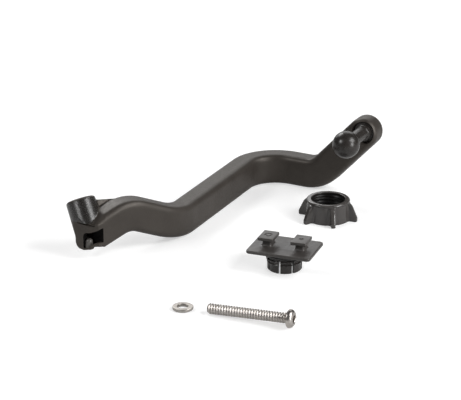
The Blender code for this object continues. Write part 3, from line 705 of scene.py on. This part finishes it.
def build_ball_stud():
    low = COLLAR_BASE - SEAT_DEPTH
    high = low + COLLAR_HEIGHT
    flare, edge = 1.6 * MM, 0.3 * MM
    joint = math.degrees(math.asin(NECK_RADIUS / BALL_RADIUS)) - 90.0
    profile = arc_points((0.0, BALL_REACH), BALL_RADIUS, 89.6, joint, 44)
    profile[0] = (0.0, BALL_REACH + BALL_RADIUS)
    profile += arc_points((NECK_RADIUS + flare, high + flare), flare, 180.0, 250.0, 7)[1:]
    profile += arc_points((COLLAR_RADIUS - edge, high - edge), edge, 80.0, 0.0, 4)
    end = -SEAT_DEPTH - 8.0 * MM
    profile += [(COLLAR_RADIUS, low), (STUD_SHANK_RADIUS, low), (STUD_SHANK_RADIUS, end), (0.0, end)]
    ball = lathe("ball_and_neck", profile, stud_matrix(), BALL_FINISH)
    dress(ball, "arm_body", "ball_stud")


def build_seat_washer():
    low, high = 0.3 * MM - SEAT_DEPTH, SEAT_WASHER_TOP - SEAT_DEPTH
    inner, outer = SEAT_WASHER
    profile = [(inner, high), (outer - 0.3 * MM, high), (outer - 0.09 * MM, high - 0.09 * MM),
               (outer, high - 0.3 * MM), (outer, low), (inner, low), (inner, high)]
    washer = lathe("seat_washer", profile, stud_matrix(), BALL_FINISH)
    dress(washer, "arm_body", "stud_washer")


build_collar_nut()
build_collet()
build_plate()
build_spring_washer()
build_screw()
build_ball_stud()
build_seat_washer()


# ---------------------------------------------------------------- arm

BAR_THICKNESS = 14.5 * MM
BAR_HEIGHT = 19.5 * MM
BAR_EDGE_RADIUS = 3.5 * MM
RAMP_AZIMUTH = 33.0
BEAM_AZIMUTH = 64.0
POST_AZIMUTH = -28.0
FOOT_RISE = 20.5
RAMP_FALL = 23.0
POST_RISE = 47.2
FOOT_LENGTH = 25.0 * MM
RAMP_LENGTH = 36.7 * MM
BEAM_LENGTH = 118.0 * MM
SHELF_LENGTH = 44.6 * MM
POST_LENGTH = 45.5 * MM
BEND_RADII = (20.0 * MM, 35.0 * MM, 24.0 * MM, 20.0 * MM)
TOE = Vector((-32.9 * MM, 14.7 * MM, BAR_HEIGHT / 2))
BAR_SETBACK = 1.3 * MM          # where the bar starts, past the hub's axis
HUB_FORWARD = 3.0 * MM
HUB_RADIUS = 8.9 * MM
HUB_LENGTH = 30.6 * MM
HUB_LEAN = 30.8
HUB_LEAN_AZIMUTH = 124.7
HUB_RIM = 1.6 * MM
BORE_RADIUS = 3.3 * MM
BORE_BOTTOM = 8.0 * MM          # along the hub's axis
FOOT_BOTTOM = 6.6 * MM
FOOT_AZIMUTH = -30.0
FOOT_OFFSET = 4.3 * MM
FOOT_TOP = 16.0 * MM            # over the foot's bottom
FOOT_DEPTH = 10.0 * MM
POCKET_DEPTH = 5.6 * MM
LEDGE_DEPTH = 1.3 * MM
LUMP_PLACE = Vector((-3.0, 3.0, 0.0)) * MM      # in the pocket, in the foot's frame
LUMP_RADIUS = 2.4 * MM
LUMP_HEIGHT = 6.4 * MM
UNDERSIDE_PLACE = (4.4 * MM, 0.0, 8.3 * MM)     # top of the slanted underside, in the ramp's frame
UNDERSIDE_TILT = (11.6, -18.3)  # about the ramp frame's Y and then X, degrees
WEB_THICKNESS = 2.6 * MM
WEB_ROOT = 22.0 * MM
WEB_LEAN = 25.0
SEAT_RADIUS = 6.9 * MM
SEAT_RIM = 0.7 * MM
SEAT_HOLE = 3.8 * MM
VOXEL = 0.5 * MM
FAR = 60.0                      # reach of a block that cuts all on one side of a plane, in millimetres

# Outlines in the foot's frame: (along, height) in millimetres, with a corner radius in the rounded ones
FOOT_OUTLINE = [(-11.0, -0.6, 4.6), (-4.2, -0.6, 2.0), (0.4, 1.1, 1.5), (2.8, 1.7, 0.0), (2.8, 16.0, 0.0),
                (-11.0, 16.0, 1.2)]
POCKET_OUTLINE = [(-5.14, 0.6, 0.8), (-1.8, 1.3, 0.6), (0.4, 3.3, 0.8), (2.5, 4.6, 0.8), (5.75, 4.7, 0.6),
                  (5.75, 13.3, 0.8), (5.1, 13.7, 0.4), (2.58, 11.9, 1.0), (-1.7, 11.0, 1.0),
                  (-5.14, 10.8, 3.0)]
CHIN_OUTLINE = [(-4.2, -3.0), (12.0, -3.0), (12.0, 1.7), (2.8, 1.7), (0.4, 1.1), (-4.2, -0.6)]
LEDGE_OUTLINE = [(-9.4, 16.0), (1.6, 15.0), (2.45, 15.5), (1.6, 16.6), (-9.4, 16.4)]

# Outlines in the ramp's frame: (along, height) in millimetres
BAR_TOP_CUT = [(-12.0, 12.5), (-2.7, 19.0), (5.0, 24.3), (5.0, 45.0), (-12.0, 45.0)]
HEEL_OUTLINE = [(-6.0, 8.0), (4.4, 8.0), (9.0, 11.5), (9.0, 20.0), (-6.0, 18.8)]
SHOULDER_OUTLINE = [(-6.0, 14.0), (10.0, 14.0), (17.0, 18.0), (17.0, 32.0), (5.0, 27.5), (-2.7, 22.2),
                    (-6.0, 20.0)]


def horizontal(azimuth):
    """Unit vector along an azimuth, in degrees from +X."""
    return Vector((math.cos(math.radians(azimuth)), math.sin(math.radians(azimuth)), 0.0))


def inclined(azimuth, rise):
    """Unit vector along an azimuth that rises by an angle, both in degrees."""
    angle = math.radians(rise)
    return horizontal(azimuth) * math.cos(angle) + Vector((0.0, 0.0, math.sin(angle)))


def arm_nodes():
    """Centreline corners of the bar, from the hub to the ball stud."""
    crest = TOE - inclined(RAMP_AZIMUTH, -RAMP_FALL) * RAMP_LENGTH
    start = crest - inclined(RAMP_AZIMUTH, FOOT_RISE) * FOOT_LENGTH
    corner = TOE + horizontal(BEAM_AZIMUTH) * BEAM_LENGTH
    heel = corner + horizontal(POST_AZIMUTH) * SHELF_LENGTH
    return [start, crest, TOE, corner, heel, heel + inclined(POST_AZIMUTH, POST_RISE) * POST_LENGTH]


def filleted(nodes, radii):
    """Path through the nodes with an arc at each inner one, as (point, tangent) pairs."""
    step = 3.0
    path = [(nodes[0], (nodes[1] - nodes[0]).normalized())]
    for before, node, after, radius in zip(nodes, nodes[1:], nodes[2:], radii):
        into = (node - before).normalized()
        out = (after - node).normalized()
        turn = into.angle(out)
        centre = node + (out - into).normalized() * (radius / math.cos(turn / 2))
        spoke = node - into * (radius * math.tan(turn / 2)) - centre
        axis = into.cross(out).normalized()
        count = math.ceil(math.degrees(turn) / step)
        for k in range(count + 1):
            rotation = Matrix.Rotation(turn * k / count, 3, axis)
            path.append((centre + rotation @ spoke, rotation @ into))
    path.append((nodes[-1], (nodes[-1] - nodes[-2]).normalized()))
    return path


def side_of(tangent):
    """Level unit vector to the right of a tangent."""
    return Vector((tangent.y, -tangent.x, 0.0)).normalized()


def bar_row(point, side, over, under, upper):
    """Closed section of the bar: its upper half along over, then the same points along under."""
    return ([point + side * a + over * b for a, b in upper]
            + [point + side * a + under * b for a, b in reversed(upper)])


def build_bar():
    radius = BAR_EDGE_RADIUS
    upper = arc_points((BAR_THICKNESS / 2 - radius, BAR_HEIGHT / 2 - radius), radius, 0.0, 90.0, 8)
    upper += arc_points((radius - BAR_THICKNESS / 2, BAR_HEIGHT / 2 - radius), radius, 90.0, 180.0, 8)
    nodes = arm_nodes()
    nodes[0] = nodes[0] + (nodes[1] - nodes[0]).normalized() * BAR_SETBACK
    rows = []
    for point, tangent in filleted(nodes, BEND_RADII):
        side = side_of(tangent)
        up = side.cross(tangent)
        rows.append(bar_row(point, side, up, -up, upper))
    # Past the last point the bar ends in a half round
    for k in range(1, 19):
        angle = math.radians(90.0 * k / 18)
        lift, ahead = up * math.cos(angle), tangent * math.sin(angle)
        rows.append(bar_row(point, side, ahead + lift, ahead - lift, upper))
    bar = make_object("cast_arm", skin(rows, False, True), POWDER_COAT)
    combine(bar, upright("above", BAR_TOP_CUT, -10.0 * MM, 30.0 * MM, ramp_matrix()), "DIFFERENCE")
    return cut_block(bar, (-30.0, -30.0, -30.0), (30.0, 0.1, 60.0), foot_matrix())


def hub_matrix():
    """Frame at the hub's lower end, with Z along its leaning axis."""
    lean = math.radians(HUB_LEAN)
    axis = horizontal(HUB_LEAN_AZIMUTH) * math.sin(lean) + Vector((0.0, 0.0, math.cos(lean)))
    place = arm_nodes()[0] + side_of(horizontal(RAMP_AZIMUTH)) * HUB_FORWARD
    return axes(Vector((place.x, place.y, FOOT_BOTTOM)), (1.0, 0.0, 0.0), axis)


def foot_matrix():
    """Upright frame on the foot's flat face: X along it, Y into the foot, Z from the foot's bottom."""
    along = horizontal(FOOT_AZIMUTH)
    return axes(hub_matrix().translation + side_of(along) * FOOT_OFFSET, along, (0.0, 0.0, 1.0))


def ramp_matrix():
    """Upright frame of the run that leaves the hub: X along it, Y back from its front face, Z up."""
    start = arm_nodes()[0]
    along = horizontal(RAMP_AZIMUTH)
    front = Vector((start.x, start.y, 0.0)) + side_of(along) * (BAR_THICKNESS / 2)
    return axes(front, along, (0.0, 0.0, 1.0))


def cut_block(piece, low, high, matrix):
    """Cuts away a block, given by two corners in millimetres."""
    return combine(piece, box("cut", [c * MM for c in low], [c * MM for c in high], matrix), "DIFFERENCE")


def cut_front(piece, matrix, margin=0.0):
    """Cuts away all in front of a frame's upright X-Z plane, and a margin in millimetres behind it."""
    return cut_block(piece, (-FAR, -FAR, -FAR), (FAR, margin, FAR), matrix)


def upright(name, outline, near, far, matrix, edge=0.0):
    """Prism over an outline of (along, height) pairs in millimetres, from near to far along local Y."""
    turned = matrix @ Matrix.Rotation(math.radians(90.0), 4, "X")
    return prism(name, [(a * MM, b * MM) for a, b in outline], -far, -near, turned, edge)


def rounded(outline):
    """Outline of (x, y, radius) corners as plain points, with an arc at each corner."""
    steps = 6
    points = []
    count = len(outline)
    for i in range(count):
        x, y, radius = outline[i]
        here = Vector((x, y))
        into = (here - Vector(outline[i - 1][:2])).normalized()
        out = (Vector(outline[(i + 1) % count][:2]) - here).normalized()
        if radius <= 0.0:
            points.append((x, y))
            continue
        turn = into.angle(out)
        reach = radius * math.tan(turn / 2)
        centre = here + (out - into).normalized() * (radius / math.cos(turn / 2))
        spoke = here - into * reach - centre
        sign = 1.0 if into.x * out.y - into.y * out.x > 0.0 else -1.0
        for k in range(steps + 1):
            angle = sign * turn * k / steps
            points.append((centre.x + spoke.x * math.cos(angle) - spoke.y * math.sin(angle),
                           centre.y + spoke.x * math.sin(angle) + spoke.y * math.cos(angle)))
    return points


def build_hub():
    radius, rim = HUB_RADIUS, HUB_RIM
    profile = [(0.0, HUB_LENGTH)] + arc_points((radius - rim, HUB_LENGTH - rim), rim, 90.0, 0.0, 6)
    profile += [(radius, -HUB_LENGTH / 2), (0.0, -HUB_LENGTH / 2)]
    hub = lathe("hub", profile, hub_matrix())
    cut_front(hub, foot_matrix())
    cut_front(hub, ramp_matrix(), 0.2)
    cut_block(hub, (2.0, -FAR, -FAR), (FAR, FAR, 13.0), ramp_matrix())
    return cut_block(hub, (-FAR, -FAR, -FAR), (FAR, FAR, 0.0), foot_matrix())


def build_foot():
    foot = upright("foot", rounded(FOOT_OUTLINE), 0.0, FOOT_DEPTH, foot_matrix())
    return cut_front(foot, ramp_matrix(), 0.1)


def build_heel():
    """Metal under the start of the bar, which carries its front face down into the foot."""
    heel = upright("heel", HEEL_OUTLINE, 0.0, BAR_THICKNESS - 3.0 * MM, ramp_matrix(), 1.4 * MM)
    return cut_front(heel, foot_matrix())


def build_shoulder():
    """Start of the bar, whose top drops more steeply to the foot than the rest."""
    shoulder = upright("shoulder", SHOULDER_OUTLINE, 0.0, BAR_THICKNESS, ramp_matrix(), 3.0 * MM)
    return cut_front(shoulder, foot_matrix())


def build_web():
    """Thin wall from the hub's flank to the crest, leaning back with the hub."""
    start, crest = arm_nodes()[:2]
    length = (crest - start).dot(horizontal(RAMP_AZIMUTH)) / MM
    near = BAR_THICKNESS - 1.6 * MM - WEB_THICKNESS
    lean = Matrix.Rotation(math.radians(-WEB_LEAN), 4, "X")
    place = ramp_matrix() @ Matrix.Translation((0.0, near, WEB_ROOT)) @ lean
    outline = [(0.0, -4.0), (length, -4.0), (length, 9.3), (0.0, 12.6)]
    return upright("web", outline, 0.0, WEB_THICKNESS, place)


def seat_cutter():
    """Seat for the ball stud's washer and a hole for its shank."""
    radius, rim, hole = SEAT_RADIUS, SEAT_RIM, SEAT_HOLE
    above, bottom = 3.0 * MM, -11.0 * MM
    profile = [(0.0, above), (radius + rim, above), (radius + rim, 0.0), (radius + 0.1 * MM, -rim),
               (radius, -rim - 0.2 * MM), (radius, -SEAT_DEPTH), (hole, -SEAT_DEPTH), (hole, bottom),
               (0.0, bottom)]
    return lathe("seat", profile, stud_matrix(), steps=72)


def lump_form():
    """Round lump that shows in the pocket; paint_arm colours it lighter as a painted highlight."""
    edge, low = 1.8 * MM, 0.1 * MM
    profile = [(0.0, LUMP_HEIGHT)] + arc_points((0.3 * MM, LUMP_HEIGHT - edge), edge, 90.0, 0.0, 6)
    profile += [(LUMP_RADIUS, low), (0.0, low)]
    return lathe("lump", profile, foot_matrix() @ Matrix.Translation(LUMP_PLACE), steps=32)


def join(piece, others):
    """Adds the shells of other pieces to a piece's mesh."""
    bm = bmesh.new()
    bm.from_mesh(piece.data)
    for other in others:
        bm.from_mesh(other.data)
        bpy.data.objects.remove(other, do_unlink=True)
    bm.to_mesh(piece.data)
    bm.free()


def relax(piece, chosen, rounds):
    """Evens out the surface where chosen(point) holds."""
    bm = bmesh.new()
    bm.from_mesh(piece.data)
    verts = [v for v in bm.verts if chosen(v.co)]
    for _ in range(rounds):
        bmesh.ops.smooth_vert(bm, verts=verts, factor=0.5, use_axis_x=True, use_axis_y=True, use_axis_z=True)
    bm.to_mesh(piece.data)
    bm.free()


def fuse(arm):
    """Turns the shells into one skin, and evens out its joints, most of all round the hub."""
    remesh = arm.modifiers.new("skin", "REMESH")
    remesh.mode = "VOXEL"
    remesh.voxel_size = VOXEL
    bake(arm)
    to_foot, to_hub = foot_matrix().inverted(), hub_matrix().inverted()

    def near_hub(point):
        at_foot, at_hub = to_foot @ point, to_hub @ point
        around = math.hypot(at_hub.x, at_hub.y)
        return at_foot.z > FOOT_TOP + 0.8 * MM and at_hub.z < 17.0 * MM and around < 16.0 * MM

    relax(arm, lambda point: True, 4)
    relax(arm, near_hub, 5)


def carve_foot(arm):
    """Pocket, slanted underside, chin, ledge and lump of the foot."""
    foot = foot_matrix()
    combine(arm, upright("pocket", rounded(POCKET_OUTLINE), -30.0 * MM, POCKET_DEPTH, foot), "DIFFERENCE")
    along, back = (math.radians(angle) for angle in UNDERSIDE_TILT)
    slant = ramp_matrix() @ Matrix.Translation(UNDERSIDE_PLACE)
    slant = slant @ Matrix.Rotation(along, 4, "Y") @ Matrix.Rotation(back, 4, "X")
    cut_block(arm, (-7.0, -12.0, -25.0), (1.0, 25.0, 0.0), slant)
    combine(arm, upright("chin", CHIN_OUTLINE, -2.0 * MM, 5.0 * MM, foot), "DIFFERENCE")
    combine(arm, upright("ledge", LEDGE_OUTLINE, -3.0 * MM, LEDGE_DEPTH, foot), "DIFFERENCE")
    combine(arm, lump_form(), "UNION")


# Mask of the faces that get the painted pocket shade.
def inside_pocket(at_foot, at_ramp):
    deep = 0.5 * MM < at_foot.y < POCKET_DEPTH + 0.1 * MM and at_ramp.y > 0.5 * MM
    return deep and abs(at_foot.x) < 5.9 * MM and at_foot.z < 13.8 * MM


# Mask of the faces that get the painted highlight.
def on_lump(at_foot):
    beside = math.hypot(at_foot.x - LUMP_PLACE.x, at_foot.y - LUMP_PLACE.y)
    return beside < LUMP_RADIUS + 0.1 * MM and at_foot.z < LUMP_HEIGHT + 0.1 * MM and at_foot.x > -5.0 * MM


def paint_arm(arm):
    """Powder coat all over, but for the turned hub, painted shade in the pocket and a painted highlight on
    the lump in it.
    """
    to_foot, to_hub, to_ramp = (matrix.inverted() for matrix in (foot_matrix(), hub_matrix(), ramp_matrix()))
    hub_turn = to_hub.to_3x3()
    # The third slot is painted shade for the pocket, the fourth a painted highlight for the lump in it.
    coat, turned_hub, dark, lump_highlight = range(4)
    arm.data.materials.clear()
    for material in (POWDER_COAT, TURNED_COAT, POCKET_PAINTED_SHADE, LUMP_HIGHLIGHT_COAT):
        arm.data.materials.append(material)
    for face in arm.data.polygons:
        at_foot, at_hub = to_foot @ face.center, to_hub @ face.center
        on_hub = abs(math.hypot(at_hub.x, at_hub.y) - HUB_RADIUS) < 0.5 * MM and at_foot.z > FOOT_TOP
        if on_hub and abs((hub_turn @ face.normal).z) < 0.3:
            face.material_index = turned_hub
        elif inside_pocket(at_foot, to_ramp @ face.center):
            face.material_index = lump_highlight if on_lump(at_foot) else dark
        else:
            face.material_index = coat


def build_arm():
    arm = build_bar()
    join(arm, [build_hub(), build_foot(), build_heel(), build_shoulder(), build_web()])
    fuse(arm)
    carve_foot(arm)
    past = 2 * HUB_LENGTH
    bore = [(0.0, past), (BORE_RADIUS, past), (BORE_RADIUS, BORE_BOTTOM), (0.0, BORE_BOTTOM)]
    combine(arm, lathe("bore", bore, hub_matrix(), steps=48), "DIFFERENCE")
    combine(arm, seat_cutter(), "DIFFERENCE")
    paint_arm(arm)
    dress(arm, "arm_body", "arm")


build_arm()


# ---------------------------------------------------------------- floor, light and camera

WHITE = (1.0, 1.0, 1.0, 1.0)
FLOOR_REACH = 3.0               # half the floor's side, in metres
FLOOR_GLOW = 0.5
FLOOR_BOUNCE = 0.5              # grey of the floor as the other surfaces see it
FLOOR_DEPTH = 0.05 * MM         # below the table's height, so that no face coincides
GLOSS_SHARE = 0.4               # of the white floor that shows in the object's gloss
WORLD_FILL = 0.05
LIGHT_TARGET = (0.0, 0.0, 0.01)
CAMERA_PLACE = (0.0004, -1.1031, 0.460)
CAMERA_DROP = 21.3              # how far the camera looks down, degrees

# Name: place, size in metres, power in watts
SOFTBOXES = {
    "right_softbox": ((1.15, -0.37, 1.05), (0.8, 0.8), 19.0),
    "low_softbox": ((1.25, -0.95, 0.4), (0.5, 0.5), 12.0),
    "crest_softbox": ((-0.75, 1.44, 1.3), (0.7, 0.5), 9.0),
    "left_softbox": ((-1.12, -0.56, 0.98), (0.45, 0.45), 9.0),
    "back_softbox": ((-0.3, 1.85, 0.98), (2.6, 1.1), 16.0),
}


def floor_material():
    """White for the camera; the object sees a greyer floor, and only a share of the white in its gloss."""
    material, nodes, links, shader = new_material("floor_white")
    coordinates = nodes.new("ShaderNodeTexCoord")
    white = cloudy(nodes, links, coordinates, 3.0, 4.0, (0.60, 0.60, 0.60), (0.62, 0.62, 0.62))
    links.new(white, shader.inputs["Base Color"])
    shader.inputs["Roughness"].default_value = 0.9
    shader.inputs["Specular IOR Level"].default_value = 0.1
    shader.inputs["Emission Color"].default_value = WHITE
    shader.inputs["Emission Strength"].default_value = FLOOR_GLOW
    bounce = nodes.new("ShaderNodeBsdfDiffuse")
    bounce.inputs["Color"].default_value = (FLOOR_BOUNCE, FLOOR_BOUNCE, FLOOR_BOUNCE, 1.0)
    path = nodes.new("ShaderNodeLightPath")
    share = nodes.new("ShaderNodeMath")
    share.operation = "MULTIPLY"
    share.inputs[1].default_value = GLOSS_SHARE
    seen = nodes.new("ShaderNodeMath")
    seen.operation = "MAXIMUM"
    mix = nodes.new("ShaderNodeMixShader")
    links.new(path.outputs["Is Glossy Ray"], share.inputs[0])
    links.new(path.outputs["Is Camera Ray"], seen.inputs[0])
    links.new(share.outputs["Value"], seen.inputs[1])
    links.new(seen.outputs["Value"], mix.inputs["Fac"])
    links.new(bounce.outputs["BSDF"], mix.inputs[1])
    links.new(shader.outputs["BSDF"], mix.inputs[2])
    links.new(mix.outputs["Shader"], nodes["Material Output"].inputs["Surface"])
    return material


def build_floor():
    mesh = bpy.data.meshes.new("studio_floor")
    bm = bmesh.new()
    bmesh.ops.create_grid(bm, x_segments=2, y_segments=2, size=FLOOR_REACH)
    bm.to_mesh(mesh)
    bm.free()
    mesh.materials.append(floor_material())
    floor = bpy.data.objects.new("studio_floor", mesh)
    bpy.context.scene.collection.objects.link(floor)
    floor.location.z = -FLOOR_DEPTH


def build_world():
    """White behind everything for the camera, and a faint fill for the object."""
    world = bpy.data.worlds.new("studio")
    bpy.context.scene.world = world
    world.use_nodes = True
    nodes = world.node_tree.nodes
    links = world.node_tree.links
    nodes.clear()
    output = nodes.new("ShaderNodeOutputWorld")
    path = nodes.new("ShaderNodeLightPath")
    fill = nodes.new("ShaderNodeBackground")
    fill.inputs["Color"].default_value = WHITE
    fill.inputs["Strength"].default_value = WORLD_FILL
    seen = nodes.new("ShaderNodeBackground")
    seen.inputs["Color"].default_value = WHITE
    seen.inputs["Strength"].default_value = 1.0
    mix = nodes.new("ShaderNodeMixShader")
    links.new(path.outputs["Is Camera Ray"], mix.inputs["Fac"])
    links.new(fill.outputs["Background"], mix.inputs[1])
    links.new(seen.outputs["Background"], mix.inputs[2])
    links.new(mix.outputs["Shader"], output.inputs["Surface"])


def softbox(name, place, size, power):
    light = bpy.data.lights.new(name, "AREA")
    light.shape = "RECTANGLE"
    light.size = size[0]
    light.size_y = size[1]
    light.energy = power
    lamp = bpy.data.objects.new(name, light)
    lamp.location = place
    lamp.rotation_euler = (Vector(LIGHT_TARGET) - Vector(place)).to_track_quat("-Z", "Y").to_euler()
    bpy.context.scene.collection.objects.link(lamp)


def build_camera():
    camera = bpy.data.cameras.new("camera")
    camera.lens = 156.18
    camera.sensor_width = 36.0
    camera.clip_start = 0.05
    camera.clip_end = 20.0
    holder = bpy.data.objects.new("camera", camera)
    holder.location = CAMERA_PLACE
    holder.rotation_euler = (math.radians(90.0 - CAMERA_DROP), 0.0, 0.0)
    bpy.context.scene.collection.objects.link(holder)
    bpy.context.scene.camera = holder


build_floor()
build_world()
for box_name, (box_place, box_size, box_power) in SOFTBOXES.items():
    softbox(box_name, box_place, box_size, box_power)
build_camera()
bpy.context.scene.view_settings.view_transform = "Standard"
